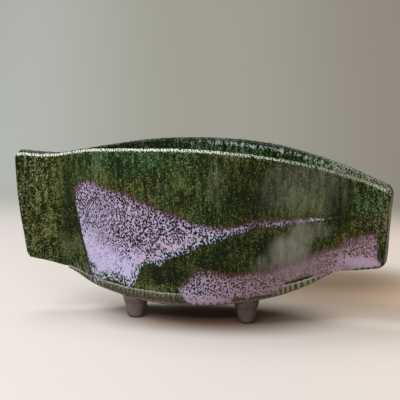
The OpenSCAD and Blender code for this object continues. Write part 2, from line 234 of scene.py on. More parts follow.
class GlazeSettings(bpy.types.PropertyGroup):
    """Colours of the glazes and of the bare clay."""

    ink: colour_setting("Ink green", "Darkest tone of the green glaze", (0.006, 0.009, 0.001))
    leaf: colour_setting("Leaf green", "Middle tone of the green glaze", (0.028, 0.043, 0.006))
    fleck: colour_setting("Fleck", "Pale flecks in the green glaze", (0.118, 0.142, 0.044))
    ivory: colour_setting("Ivory", "Palest flecks, where the glaze is thinnest", (0.34, 0.35, 0.22))
    teal: colour_setting(
        "Teal wash", "Multiplies the green under the rim", (0.85, 1.3, 1.9), most=4)
    moss: colour_setting(
        "Moss wash", "Multiplies the green where it is yellower", (2.0, 1.6, 1.6), most=4)
    mauve: colour_setting(
        "Mauve wash", "Multiplies the green at the right fin", (1.5, 1.0, 1.9), most=4)
    # Colour of the painted sheen, pale reflections painted on the glaze
    painted_sheen: colour_setting("Milk", "Milky veil in the glaze", (0.225, 0.228, 0.178))
    # White of glaze run thin; on the rim it also stands for a painted highlight
    break_and_glint_white: colour_setting("Breaking white", "Glaze run thin over the rim", (0.72, 0.76, 0.66))
    lilac: colour_setting("Lilac", "Smooth bluish part of the high pour", (0.545, 0.495, 0.755))
    rose: colour_setting("Rose", "Pinker part of the high pour", (0.435, 0.355, 0.475))
    blush: colour_setting("Blush", "Palest pink run inside the high pour", (0.50, 0.38, 0.50))
    dusk: colour_setting("Dusk", "Left part of the low pour", (0.375, 0.275, 0.345))
    mist: colour_setting("Mist", "Bluish left end of the low pour", (0.42, 0.37, 0.48))
    plum: colour_setting("Plum", "Right part of the low pour", (0.30, 0.215, 0.24))
    orchid: colour_setting(
        "Orchid", "Clean strip under the right of the low pour", (0.375, 0.27, 0.365))
    frost: colour_setting(
        "Frost", "White between the specks of the lower edges", (0.52, 0.53, 0.64))
    speck: colour_setting("Speck", "Dark specks in the pours", (0.016, 0.006, 0.014))
    wine: colour_setting("Wine", "Faint specks in the right of the low pour", (0.07, 0.038, 0.045))
    # Colour of the painted highlights inside the mouth
    glint_white: colour_setting("Pearl", "Glints of the glaze inside the mouth", (0.54, 0.61, 0.56))
    navy: colour_setting("Navy", "Specks at the pours' lower edges", (0.008, 0.013, 0.024))
    rust: colour_setting("Rust", "Red-brown fringe over the pours", (0.06, 0.026, 0.012))
    straw: colour_setting("Straw", "Thin glaze over the hem's ribs", (0.31, 0.30, 0.20))
    clay: colour_setting("Clay", "Bare fired clay of the feet and underside", (0.15, 0.112, 0.1))


class VaseSettings(bpy.types.PropertyGroup):
    """Sizes of the hand work on the clay."""

    waviness: length_setting("Waviness", "Slow unevenness of the slabs", 0.0007)
    comb_pitch: length_setting("Comb pitch", "Spacing of the upright combing", 0.0083, least=0.001)
    comb_depth: length_setting("Comb depth", "Depth of the upright combing", 0.00022)
    lumps: length_setting("Lumps", "Small lumps on the hand-rolled feet", 0.0005)


class HolderSettings(bpy.types.PropertyGroup):
    """Sizes of the needles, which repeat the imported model's."""

    pin_pitch: length_setting("Needle pitch", "Spacing of the needles", 0.0039, least=0.001)
    pin_diameter: length_setting("Needle diameter", "Thickness of a needle", 0.0013, least=0.0005)
    plate: length_setting("Needle plate", "Thickness of the brass plate", 0.0012, least=0.0005)
    pin_point: length_setting("Point length", "Length of a needle's point", 0.003, least=0.0005)


class StudioSettings(bpy.types.PropertyGroup):
    """The floor, the backdrop and the camera."""

    floor: colour_setting("Floor", "Colour of the floor", (0.735, 0.685, 0.64))
    # The floor's right side is painted lighter and warmer, a painted glow of light
    floor_right: colour_setting(
        "Floor on the right", "Colour of the floor's right side", (0.86, 0.75, 0.645))
    backdrop: colour_setting("Backdrop", "Colour of the backdrop's middle", (0.425, 0.415, 0.355))
    # The backdrop's sides carry a painted falloff of light: lighter on the left, darker on the
    # right
    backdrop_left: colour_setting(
        "Backdrop on the left", "Colour of the backdrop's left side", (0.56, 0.588, 0.543))
    backdrop_right: colour_setting(
        "Backdrop on the right", "Colour of the backdrop's right side", (0.357, 0.322, 0.27))
    camera_turn: angle_setting("Camera turn", "Angle round from straight in front", 14.0)
    camera_rise: angle_setting("Camera rise", "Angle above the horizon", 6.6)
    camera_distance: length_setting(
        "Camera distance", "Distance from the point it looks at", 1.0, least=0.1)
    lens: bpy.props.FloatProperty(
        name="Lens", description="Focal length in millimetres", min=1, default=104.0)


SETTINGS = {
    "vase_glaze": GlazeSettings,
    "vase_clay": VaseSettings,
    "vase_holder": HolderSettings,
    "vase_studio": StudioSettings,
}


# Selecting and shaping

def only(piece):
    """Selects one object and makes it the active one."""
    bpy.ops.object.select_all(action="DESELECT")
    piece.select_set(True)
    bpy.context.view_layer.objects.active = piece


def close_edit():
    """Goes back to object mode."""
    bpy.ops.object.mode_set(mode="OBJECT")


def on_all(piece, operator, **values):
    """Runs an edit mode operator on all of an object."""
    only(piece)
    bpy.ops.object.mode_set(mode="EDIT")
    bpy.ops.mesh.select_all(action="SELECT")
    operator(**values)
    close_edit()


def pick(piece, kind, wanted):
    """Opens an object in edit mode with only the wanted faces or edges selected."""
    on_all(piece, bpy.ops.mesh.select_mode, type=kind)
    on_all(piece, bpy.ops.mesh.select_all, action="DESELECT")
    for part in piece.data.edges if kind == "EDGE" else piece.data.polygons:
        part.select = wanted(part)
    bpy.ops.object.mode_set(mode="EDIT")


def bake_place(piece):
    """Puts an object's place, turn and size into its mesh."""
    only(piece)
    bpy.ops.object.transform_apply(location=True, rotation=True, scale=True)


def copy_of(node_name, name):
    """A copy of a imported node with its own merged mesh, free of its body."""
    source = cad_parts[node_name]
    piece = source.copy()
    piece.data = source.data.copy()
    piece.name = name
    bpy.context.collection.objects.link(piece)
    piece.parent = None
    piece.matrix_world = Matrix.Identity(4)
    if "custom_normal" in piece.data.attributes:
        piece.data.attributes.remove(piece.data.attributes["custom_normal"])
    on_all(piece, bpy.ops.mesh.remove_doubles, threshold=0.001 * MM)
    return piece


def add_modifier(piece, kind, **values):
    """Adds a modifier with the given values and applies it."""
    only(piece)
    modifier = piece.modifiers.new(kind.title(), kind)
    for key, value in values.items():
        setattr(modifier, key, value)
    bpy.ops.object.modifier_apply(modifier=modifier.name)


def rows_from(things, name):
    """Three numbers of each of some vertices or normals, as an array of rows."""
    numbers = np.empty(len(things) * 3)
    things.foreach_get(name, numbers)
    return numbers.reshape(-1, 3)


def points_of(piece):
    """Where a mesh's vertices are."""
    return rows_from(piece.data.vertices, "co")


def normals_of(piece):
    """Which way a mesh's vertices face."""
    return rows_from(piece.data.vertex_normals, "vector")


def move_points(piece, places):
    """Writes an array of rows back as a mesh's vertices."""
    piece.data.vertices.foreach_set("co", places.reshape(-1))
    piece.data.update()


def raise_surface(piece, heights):
    """Moves each vertex along its normal by its own height."""
    move_points(piece, points_of(piece) + normals_of(piece) * heights[:, None])


def rough_field(places, scale, seed):
    """Smooth noise from -1 to 1 at each place, for features 1 / scale metres wide."""
    offset = Vector((seed * 7.3, seed * 3.1, seed * 5.7))
    return np.array([noise.noise(Vector(place) * scale + offset) for place in places])


def ramp(values, none, full):
    """0 where the values are at or past one number and 1 at or past the other."""
    return np.clip((values - none) / (full - none), 0, 1)


def write_fields(piece, **fields):
    """Stores numbers by name, one for each vertex or one for all, which materials read."""
    count = len(piece.data.vertices)
    for name, values in fields.items():
        stored = piece.data.attributes.new(name, "FLOAT", "POINT")
        stored.data.foreach_set("value", np.broadcast_to(values, count).astype(np.float32))


def settle(piece, material, node_name, body, crease=None):
    """Gives a piece its finish and shading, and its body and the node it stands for."""
    wear(piece, material)
    only(piece)
    if crease is None:
        bpy.ops.object.shade_smooth()
    else:
        bpy.ops.object.shade_smooth_by_angle(angle=math.radians(crease))
    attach(piece, body)
    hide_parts(node_name)


def wear(piece, material):
    """Gives a piece one material."""
    piece.data.materials.clear()
    piece.data.materials.append(material)


# Distances to drawn outlines

def curve_through(corners, closed=False):
    """More points along a smooth curve through the given ones, which ends where it closes."""
    corners = np.array(corners, dtype=float)
    before, after = (corners[-1:], corners[:2]) if closed else (corners[:1], corners[-1:])
    corners = np.vstack((before, corners, after))
    steps = np.linspace(0, 1, CURVE_STEPS, endpoint=False)[:, None]
    spans = [0.5 * (2 * b + (c - a) * steps + (2 * a - 5 * b + 4 * c - d) * steps**2
                    + (3 * b - a - 3 * c + d) * steps**3)
             for a, b, c, d in zip(corners, corners[1:], corners[2:], corners[3:])]
    return np.vstack((*spans, corners[-2]))


def distance_to(line, spots):
    """Distance in millimetres from each spot to a line of points."""
    nearest = np.full(len(spots), FAR_MM)
    for start, end in zip(line, line[1:]):
        along = end - start
        share = np.clip((spots - start) @ along / max(along @ along, TINY), 0, 1)
        gap = np.hypot(*(spots - start - share[:, None] * along).T)
        nearest = np.minimum(nearest, gap)
    return nearest


def depth_inside(corners, spots):
    """Signed distance in millimetres to an outline: positive inside it."""
    line = curve_through(corners, closed=True)
    inside = np.zeros(len(spots), dtype=bool)
    for start, end in zip(line, line[1:]):
        crosses = (start[1] > spots[:, 1]) != (end[1] > spots[:, 1])
        slope = (end[0] - start[0]) / ((end[1] - start[1]) or TINY)
        inside ^= crosses & (spots[:, 0] < start[0] + slope * (spots[:, 1] - start[1]))
    gap = distance_to(line, spots)
    return np.where(inside, gap, -gap)


def nearness(line, spots, reach):
    """1 on a line of points and 0 at reach millimetres from it or further."""
    return ramp(distance_to(curve_through(line), spots), reach, 0)


def patch_strength(patches, spots):
    """Strength of the strongest soft patch at each spot."""
    strength = np.zeros(len(spots))
    for x, z, wide, high, most in patches:
        away = np.hypot((spots[:, 0] - x) / wide, (spots[:, 1] - z) / high)
        strength = np.maximum(strength, most * ramp(away, *PATCH_EDGE))
    return strength


# Where things are on the clay

def edge_heights(places, pick_edge):
    """For each point, the highest or lowest place of the piece above or below it."""
    step = 3 * MM
    bins = np.round(places[:, 0] / step).astype(int)
    keys = np.unique(bins)
    heights = np.array([pick_edge(places[bins == key, 2]) for key in keys])
    return np.interp(places[:, 0], keys * step, heights)


def glaze_spots(places, side):
    """Where each point lies on the front's drawing, which the back repeats turned and narrower."""
    spots = places[:, (0, 2)] / MM
    behind = (places[:, 1] > 0) if side == 0 else np.full(len(places), side > 0)
    return np.where(behind[:, None], spots * BACK_STRETCH + BACK_SHIFT_MM, spots)


def glaze_fields(piece, side, rim):
    """Stores where each point lies: under the rim, round the lip, on a pour, on a patch.

    The side is -1 for a piece of the front, 1 for one of the back and 0 for one of both.
    """
    places = points_of(piece)
    normals = normals_of(piece)
    x = places[:, 0] / MM
    away = side or np.sign(places[:, 1])
    outer = ramp(normals[:, 1] * away, -0.125, 0.125)
    if side == 0:
        across = abs(places[:, 1])
        reach = edge_heights(np.column_stack((places[:, 0], across, across)), np.max)
        floor = (normals[:, 2] > 0.3) & (across < reach - INNER_FLOOR_REACH)
        outer = np.where(floor, 0, outer)
    front = outer > 0.3
    spots = glaze_spots(places, side)
    high, low = (depth_inside(line, spots) for line in (HIGH_POUR_MM, LOW_POUR_MM))
    dense = np.maximum(depth_inside(HIGH_DENSE_MM, spots), depth_inside(LOW_DENSE_MM, spots))
    border_reach = BORDER_REACH_MM + BORDER_EXTRA_LEFT_MM * ramp(-spots[:, 0], 50, 75)
    left_fin = ramp(-x, 126, 138) * (0.4 + 0.6 * ramp(spots[:, 1], 24, 120))
    write_fields(
        piece,
        under_rim=(rim - places[:, 2]) / MM,
        lip=np.degrees(np.arctan2(normals[:, 2], normals[:, 1] * away)) / 90,
        outer=outer,
        low=(low > high - 4) * (0.4 + 0.6 * ramp(spots[:, 0], 0, 66)),
        pour=np.where(front, np.maximum(high, low), -60),
        dense=ramp(dense, -15, 5),
        border=np.maximum(nearness(HIGH_BORDER_MM, spots, border_reach),
                          nearness(LOW_BORDER_MM, spots, LOW_BORDER_REACH_MM)),
        fringe=front * np.maximum(*(nearness(line, spots, FRINGE_REACH_MM) for line in FRINGE_MM)),
        pink=nearness(PINK_RUN_MM, spots, PINK_RUN_REACH_MM),
        dark_edge=front * nearness(DARK_EDGE_MM, spots, DARK_EDGE_REACH_MM),
        red_hair=front * nearness(RED_HAIR_MM, spots, RED_HAIR_REACH_MM),
        end=ramp(abs(x), 159, 163) * normals[:, 0] * np.sign(x),
        fin=np.maximum(left_fin, 0.5 * ramp(x, 132, 140)),
        # shine and right_top place the painted highlights inside the mouth; right_top also pales
        # the rim on the right
        shine=(1 - outer) * ramp(abs(x - 45), 84.5, 19.5),
        right_top=ramp(x, 96, 116),
        # The patches include painted shade and painted sheen
        **{name: front * patch_strength(patches, spots) for name, patches in PATCHES_MM.items()})


# Nodes of the materials

class Amount:
    """A number inside a material. Plain arithmetic on it adds the nodes that work it out."""

    def __init__(self, socket):
        self.socket = socket

    def __add__(self, other):
        return maths("ADD", self, other)

    def __radd__(self, other):
        return maths("ADD", other, self)

    def __sub__(self, other):
        return maths("SUBTRACT", self, other)

    def __rsub__(self, other):
        return maths("SUBTRACT", other, self)

    def __mul__(self, other):
        return maths("MULTIPLY", self, other)


def add_node(kind, inputs, tree=None, **settings):
    """A shader node with its settings made and its inputs linked or filled.

    It goes where its linked inputs are, or into the given tree where it has none.
    """
    inputs = {key: getattr(value, "socket", value) for key, value in inputs.items()}
    links = {key: value for key, value in inputs.items()
             if isinstance(value, bpy.types.NodeSocket)}
    tree = tree or next(iter(links.values())).id_data
    made = tree.nodes.new(kind)
    for name, value in settings.items():
        setattr(made, name, value)
    for key, value in inputs.items():
        target = made.inputs[key]
        if key in links:
            tree.links.new(value, target)
        elif target.type == "RGBA":
            target.default_value = (*value, 1)
        else:
            target.default_value = value
    return made


def maths(operation, a, b=0.0):
    """One step of arithmetic on amounts and numbers."""
    return Amount(add_node("ShaderNodeMath", {0: a, 1: b}, operation=operation).outputs[0])


def larger(a, b):
    """The larger of two amounts."""
    return maths("MAXIMUM", a, b)


def rising(value, low, high):
    """0 below low and 1 above high, smooth between; falls where high is under low."""
    made = add_node("ShaderNodeMapRange", {"Value": value, "From Min": low, "From Max": high},
                    interpolation_type="SMOOTHSTEP")
    return Amount(made.outputs["Result"])


def blend(share, first, second):
    """Mixes two colours, each linked or three numbers."""
    return add_node("ShaderNodeMix", {0: share, 6: first, 7: second}, data_type="RGBA").outputs[2]


def blend_amounts(share, first, second):
    """Mixes two numbers."""
    return Amount(add_node("ShaderNodeMix", {0: share, 2: first, 3: second}).outputs[0])


def tint(colour, factor):
    """Multiplies a colour by an amount."""
    made = add_node("ShaderNodeVectorMath", {0: colour, "Scale": factor}, operation="SCALE")
    return made.outputs[0]


def washed(share, colour, factors):
    """Multiplies a colour by three factors where the share is 1."""
    made = add_node("ShaderNodeVectorMath", {0: colour, 1: factors}, operation="MULTIPLY")
    return blend(share, colour, made.outputs[0])


def toned(colour, factor):
    """Three numbers of a colour, each times a factor."""
    return tuple(factor * part for part in colour)


def stops(value, *rows):
    """A colour that runs through rows of place and colour as a number rises from 0 to 1."""
    made = add_node("ShaderNodeValToRGB", {"Fac": value})
    elements = made.color_ramp.elements
    while len(elements) < len(rows):
        elements.new(0.5)
    for element, (place, colour) in zip(elements, rows):
        element.position = place
        element.color = (*colour, 1)
    return made.outputs["Color"]


def place_mm(tree, tall=1.0, lean=0.0):
    """Object coordinates in millimetres for features drawn out along an axis that leans."""
    source = add_node("ShaderNodeTexCoord", {}, tree).outputs["Object"]
    turn = (0, math.radians(lean), 0)
    place = add_node("ShaderNodeMapping",
                     {"Vector": source, "Scale": [1 / MM] * 3, "Rotation": turn}).outputs[0]
    if tall != 1.0:
        place = add_node("ShaderNodeMapping",
                         {"Vector": place, "Scale": (1, 1, 1 / tall)}).outputs[0]
    return place


def along_axes(place):
    """The x and the y of a place."""
    made = add_node("ShaderNodeSeparateXYZ", {0: place})
    return Amount(made.outputs["X"]), Amount(made.outputs["Y"])


def drifting_x(tree):
    """Place along the vase in millimetres, blurred by noise."""
    x, _ = along_axes(place_mm(tree))
    return x + (grain(tree, 20) - 0.5) * 60


def field(tree, name):
    """A number that write_fields stored."""
    return Amount(add_node("ShaderNodeAttribute", {}, tree, attribute_name=name).outputs["Fac"])


def grain(tree, size_mm, tall=1.0, lean=0.0, detail=2.0, roughness=0.5):
    """Noise from 0 to 1 with features of the given size."""
    made = add_node("ShaderNodeTexNoise", {
        "Vector": place_mm(tree, tall, lean), "Scale": 1 / size_mm, "Detail": detail,
        "Roughness": roughness})
    return Amount(made.outputs["Fac"])


def cells(tree, size_mm, tall=1.0, lean=0.0):
    """Distance to the nearest of scattered points, and a random number for each point's cell."""
    made = add_node("ShaderNodeTexVoronoi",
                    {"Vector": place_mm(tree, tall, lean), "Scale": 1 / size_mm})
    chance = add_node("ShaderNodeSeparateColor", {0: made.outputs["Color"]})
    return Amount(made.outputs["Distance"]), Amount(chance.outputs["Red"])


def speck_layer(tree, size_mm, tall, lean, reach, share):
    """Dots scattered in cells: how far each reaches, and the share of cells that hold one."""
    distance, chance = cells(tree, size_mm, tall, lean)
    return rising(reach - distance, -0.05, 0.05) * rising(share - chance, -0.02, 0.02)


def new_material(name):
    """An empty node material and its tree."""
    material = bpy.data.materials.new(name)
    material.use_nodes = True
    material.node_tree.nodes.clear()
    return material, material.node_tree


def finish_material(material, colour, roughness, bump=None, bump_mm=0.3, **shader):
    """Gives a material its shader, with a bump in millimetres."""
    inputs = {name.replace("_", " "): value for name, value in shader.items()}
    if bump is not None:
        raised = add_node("ShaderNodeBump", {"Height": bump, "Distance": bump_mm * MM})
        inputs["Normal"] = raised.outputs[0]
    surface = add_node("ShaderNodeBsdfPrincipled",
                       {"Base Color": colour, "Roughness": roughness, **inputs})
    add_node("ShaderNodeOutputMaterial", {"Surface": surface.outputs[0]})
    return material


# Finishes. Sizes are millimetres, leans are degrees, and the other numbers are shares of one.

def green_glaze(tree, paint):
    """Colour of the mottled green glaze with its painted shade and painted sheen, and its fine
    grain and tone.
    """
    fine = grain(tree, 1.0, tall=1.3, detail=1.5)
    blotch = grain(tree, 3.2, tall=1.7)
    streak = grain(tree, 2.6, tall=9, detail=1.0)
    cloud = grain(tree, 28, detail=1.0)
    tone = ((fine - 0.5) * 2.0 + (blotch - 0.5) * 0.9 + (streak - 0.5) * 0.6
            + (cloud - 0.5) * 0.7 + field(tree, "comb") * 0.08)
    fin = field(tree, "fin")
    # Darker where the patches of painted shade lie
    level = tone * (1.0 + fin * 0.4) + 0.47 + field(tree, "painted_shade") * -0.30
    green = stops(level, (0.0, paint.ink), (0.25, paint.ink), (0.54, paint.leaf),
                  (0.82, paint.fleck))
    green = washed(field(tree, "teal"), green, paint.teal)
    green = washed(field(tree, "moss"), green, paint.moss)
    green = washed(field(tree, "mauve"), green, paint.mauve)
    bright = rising(level, 0.80, 1.20) * (0.35 + fin * 0.65)
    green = washed(fin, blend(bright, green, paint.ivory), FIN_WASH)
    crumbs = speck_layer(tree, 2.3, 1.4, 15, reach=0.33 + (fine - 0.5) * 0.9,
                         share=0.25 + (blotch - 0.4) * 1.2)
    green = blend(crumbs * fin * 0.55, green, paint.ivory)
    # Painted sheen: pale streaked reflections where these patches lie
    painted_sheen = field(tree, "painted_sheen")
    run = grain(tree, 4.5, tall=7, detail=1.0)
    veil = rising(painted_sheen + (run - 0.5) * 0.65, 0.0, 1.0) * maths("MINIMUM", painted_sheen * 4.0, 1.0)
    veil = veil * (fine * 0.6 + 0.05 + streak * 0.85)
    return blend(veil, green, paint.painted_sheen), fine, tone


def pour_body(tree, paint, low, soft, border, fine):
    """Ground colour of the pours under their specks."""
    pink = field(tree, "dense") * 0.62 + rising(soft, 0.45, 0.7) * 0.4
    body = blend(maths("MINIMUM", pink, 1.0), paint.lilac, paint.rose)
    body = blend(field(tree, "pink") * 0.8, body, paint.blush)
    lower = stops(low, (0.40, paint.mist), (0.62, paint.dusk), (1.0, paint.plum))
    clean = blend(rising(low, 0.5, 0.9), paint.blush, paint.orchid)
    lower = blend(field(tree, "strip"), lower, clean)
    on_low = rising(low, 0.2, 0.35)
    body = blend(on_low, body, lower)
    body = blend(border * (1.0 - on_low), body, paint.frost)
    return tint(body, 0.70 + fine * 0.56)


def pour_specks(tree, low, dense, border, fine, soft):
    """Dark specks: short upright worms far left, leaning dots elsewhere, teeth at the edge."""
    worm = grain(tree, 1.12, tall=1.6, lean=-10, detail=0.5, roughness=0.4)
    worms = rising(worm + dense * 0.20 + border * 0.14 - 0.68, -0.02, 0.04)
    wobble = (fine - 0.5) * 0.8
    share = rising(soft, 0.36, 0.55) * 0.5 + dense * 1.1 + border - field(tree, "pink") * 0.35
    dots = speck_layer(tree, 1.45, 1.35, 35,
                       reach=0.41 + wobble + dense * 0.14 + border * 0.11, share=share)
    dotted = larger(rising(drifting_x(tree), -92, -66), border)
    share = 0.25 + dense * 0.80 + border * 0.4 - field(tree, "strip") * 0.9
    beads = speck_layer(tree, 1.45, 1.15, 25,
                        reach=0.38 + wobble * 0.6 + dense * 0.10, share=share)
    specks = blend_amounts(rising(low, 0.2, 0.35), blend_amounts(dotted, worms, dots), beads)
    edge = rising(field(tree, "pour"), 4.5, 1.0) * field(tree, "border")
    teeth = speck_layer(tree, 2.9, 1.2, -25, reach=0.43 + wobble, share=edge * 0.9)
    faint = speck_layer(tree, 1.25, 1.3, 10, reach=0.38 + wobble, share=0.55)
    return larger(faint * 0.28, larger(specks, teeth))


def lilac_pour(tree, paint, ground, fine, tone):
    """Lays the lilac pours over a ground colour; also gives their cover and specks."""
    hair = grain(tree, 0.95, tall=4, detail=1.0)
    soft = grain(tree, 12)
    fringe = field(tree, "fringe")
    veil = field(tree, "veil")
    depth = field(tree, "pour")
    grit = (fine - 0.5) * 0.6
    tongues = (hair - 0.56) * 12 * fringe
    width = 0.6 + veil * 7 + fringe * 1.8
    cover = rising(depth + (fine - 0.5) * 3.0 + tongues, 0.4 - width, width)
    rust = rising(depth + tone * 2.2, -4.5, 0.0) * fringe * rising(soft, 0.30, 0.55)
    base = blend(rust * (0.85 - veil * 0.85), ground, paint.rust)
    low = field(tree, "low")
    border = rising(field(tree, "border") + grit, 0.2, 0.55)
    dense = field(tree, "dense") + (soft - 0.5) * 0.6
    body = pour_body(tree, paint, low, soft, border, fine)
    body = washed(rising(fringe, 0.35, 1.0), body, FRINGE_WASH)
    specks = pour_specks(tree, low, dense, border, fine, soft)
    ink = blend(border, paint.speck, paint.navy)
    ink = blend(rising(low, 0.45, 0.95), ink, paint.wine)
    colour = blend(cover, base, blend(specks * (1.0 - veil * 0.55), body, ink))
    halo = rising(field(tree, "dark_edge") + grit, 0.35, 0.9)
    colour = blend(halo * 0.65, colour, paint.navy)
    thread = rising(field(tree, "red_hair") + grit, 0.45, 0.9)
    colour = blend(thread * 0.5, colour, HAIR_RED)
    notch = rising(field(tree, "notch") + grit, 0.4, 0.8)
    return blend(notch * 0.85, colour, paint.ink), cover, specks


def hem_colour(tree, paint, fine, tone):
    """Thin glaze over the hem: a broken pale line along its top and strokes down its ribs."""
    rough = (fine - 0.5) * 1.1 + tone * 0.2
    ground = stops(tone * 0.55 + 0.42, (0.0, toned(paint.straw, 0.05)),
                   (0.5, toned(paint.straw, 0.17)), (1.0, toned(paint.straw, 0.50)))
    strokes = rising(grain(tree, 0.95, tall=5, detail=1.0), 0.50, 0.66) * 0.45
    khaki = rising(drifting_x(tree), 45, 75) * 0.55
    rib = rising(field(tree, "rib") + khaki + rough, 0.15, 0.95)
    line = rising(field(tree, "seam") + rough, 0.40, 0.95)
    pale = larger(larger(rib * 0.85, strokes), line)
    return blend(line * 0.5, blend(pale, ground, paint.straw), paint.break_and_glint_white)


def inside_colour(tree, paint, green, tone):
    """Blue-green glaze inside the mouth, with painted shade to the left and painted highlights
    (glints) just under the rim.
    """
    deep = washed(1.0, green, INSIDE_WASH)
    # Painted shade: darker towards the mouth's narrow left part
    deep = washed(rising(drifting_x(tree), 20, -50), deep, INSIDE_LEFT_SHADE)
    under = field(tree, "under_rim")
    band = rising(under, 1.5, 3.5) * rising(under, 9.0, 5.0) * field(tree, "shine")
    lip_line = rising(under, 2.6, 1.4)
    # Painted highlights: a band under the rim where shine is, a line at the lip, more on the right
    glint = larger(band * 0.62, lip_line * 0.5) + tone * 1.25 + field(tree, "right_top") * 0.21
    return blend(rising(glint, 0.38, 0.85) * 0.9, deep, paint.glint_white)


def rim_colour(tree, paint, colour, fine, tone):
    """White ticks where the glaze ran off the rim and a painted highlight along it, over a dark
    line, pale on the right fin.
    """
    x, _ = along_axes(place_mm(tree, lean=30))
    runs = grain(tree, 7, detail=1.0)
    turn = x * (2 * math.pi / TICK_PITCH_MM) + runs * 22
    ticks = maths("SINE", turn) * 0.42 + (fine - 0.5) * 2.2 + runs * 0.5
    lip = field(tree, "lip")
    under = field(tree, "under_rim")
    dark = rising(lip, 0.70, 0.90) * rising(under, 4, 1.5)
    colour = blend(dark * 0.75, colour, paint.ink)
    band = rising(lip, 0.10, 0.36) * rising(lip, 1.02, 0.78)
    crumbs = rising(fine + rising(under, 4.5, 1.0) * 0.24, 0.68, 0.82) * 0.8
    near = larger(rising(lip, 0.5, 0.3), field(tree, "fin"))
    # White ticks and crumbs: glaze run thin, and a painted highlight along the lip
    white = larger(band * rising(ticks, -0.02, 0.30), near * crumbs)
    colour = blend(white * field(tree, "rim_white"), colour, paint.break_and_glint_white)
    near = larger(rising(lip, 0.15, 0.4), rising(under, 4.5, 1.5))
    pale = near * field(tree, "right_top") * rising(fine + tone * 0.2, 0.42, 0.62)
    return blend(pale * 0.6, colour, paint.straw)


def fin_end_colour(tree, paint, colour, fine, tone):
    """A dark groove and a brown brink down the ends of the fins."""
    end = field(tree, "end") + tone * 0.30
    groove = rising(end, 0.05, 0.25) * rising(end, 0.60, 0.35)
    colour = blend(groove * 0.7, colour, paint.ink)
    brink = rising(end, 0.45, 0.75) * rising(fine, 0.36, 0.6)
    return blend(brink * 0.75, colour, FIN_END)


def glaze_material(paint):
    """The vase's layered glaze, from the white break at the rim to the bare clay at the hem, with
    painted highlights, painted shade and painted sheen.
    """
    material, tree = new_material("layered_glaze")
    green, fine, tone = green_glaze(tree, paint)
    green = blend(field(tree, "hem"), green, hem_colour(tree, paint, fine, tone))
    stroke = rising(grain(tree, 1.5, tall=6, detail=1.0), 0.50, 0.64)
    green = blend(field(tree, "scratch") * stroke * 0.6, green, paint.straw)
    inside = rising(field(tree, "outer"), 0.45, 0.15)
    green = blend(inside, green, inside_colour(tree, paint, green, tone))
    colour, cover, specks = lilac_pour(tree, paint, green, fine, tone)
    colour = rim_colour(tree, paint, colour, fine, tone)
    colour = fin_end_colour(tree, paint, colour, fine, tone)
    grog = grain(tree, 0.8)
    patch = grain(tree, 8, detail=3.0)
    clay = blend(rising(grog + patch * 0.6, 0.6, 1.0), toned(paint.clay, 0.8),
                 toned(paint.clay, 1.9))
    bare = rising(field(tree, "bare") + (fine - 0.5), 0.35, 0.6)
    height = fine * 0.5 + cover * 0.6 + specks * -0.3 + grog * bare * 0.8
    gloss = 0.15 + fine * 0.14 + cover * 0.10 + bare * 0.45
    return finish_material(material, blend(bare, colour, clay), gloss, height, 0.25, IOR=1.46,
                           Specular_IOR_Level=0.1)


def clay_material(paint):
    """Bare fired clay with fine grog and a few dark iron spots, darkened by painted shade and
    random changes of tone.
    """
    material, tree = new_material("bare_clay")
    patch = grain(tree, 9, detail=3.0)
    grog = grain(tree, 0.8)
    colour = blend(rising(patch, 0.3, 0.7), toned(paint.clay, 0.8), toned(paint.clay, 1.2))
    colour = blend(rising(grog, 0.55, 0.75) * 0.35, colour, GROG)
    spots = rising(cells(tree, 3.4)[0], 0.16, 0.10)
    colour = blend(spots * 0.6, colour, IRON_SPOT)
    colour = washed(field(tree, "scorch"), colour, FOOT_SHADE_WASH)
    return finish_material(material, colour, 0.62, grog + patch * 0.7, 0.3)


def lead_material():
    """Dull cast grey with oxide clouds."""
    material, tree = new_material("cast_weight")
    cloud = grain(tree, 6, detail=3.0)
    colour = blend(rising(cloud, 0.35, 0.7), *LEAD)
    return finish_material(material, colour, 0.42 + cloud * 0.2, grain(tree, 0.7) + cloud, 0.15,
                           Metallic=0.6)


def needle_material():
    """Drawn brass with a little tarnish in patches."""
    material, tree = new_material("brass_needle")
    tarnish = grain(tree, 4, detail=3.0)
    colour = blend(rising(tarnish, 0.35, 0.7), *BRASS)
    return finish_material(material, colour, 0.22 + tarnish * 0.25, grain(tree, 0.4), 0.05,
                           Metallic=1.0)


def rubber_material():
    """Matt black rubber with a dusty bloom."""
    material, tree = new_material("rubber_ring")
    bloom = grain(tree, 3, detail=3.0)
    return finish_material(material, blend(rising(bloom, 0.45, 0.8), *RUBBER), 0.7, bloom, 0.08)


def sweep_material(studio):
    """Paper of the floor and backdrop, with soft changes of tone across and upwards: painted light
    falloff across the backdrop and the floor's right side, and painted shadows of the vase on the
    floor.
    """
    material, tree = new_material("studio_sweep")
    x, y = along_axes(add_node("ShaderNodeTexCoord", {}, tree).outputs["Object"])
    across = x * math.cos(studio.camera_turn) + y * math.sin(studio.camera_turn)
    # Painted light: the floor lighter and warmer to the right
    floor = blend(rising(across, 0.0, 0.26), studio.floor, studio.floor_right)
    # Painted shadows: darker, warmer ovals under and behind the vase
    for middle, half, (start, full), wash in FLOOR_SHADOWS:
        wide, deep = (maths("POWER", (place - centre) * (1 / reach), 2.0)
                      for place, centre, reach in zip((x, y), middle, half))
        floor = washed(rising(maths("SQRT", wide + deep), start, full), floor, wash)
    # Painted falloff of light across the backdrop
    wall = blend(rising(across, -0.39, -0.02), studio.backdrop_left, studio.backdrop)
    wall = blend(rising(across, 0.02, 0.39), wall, studio.backdrop_right)
    colour = blend(rising(y, 0.45, 0.9), floor, wall)
    return finish_material(material, colour, 0.9, Specular_IOR_Level=0.1)


# Rebuilding a lofted slab of quads

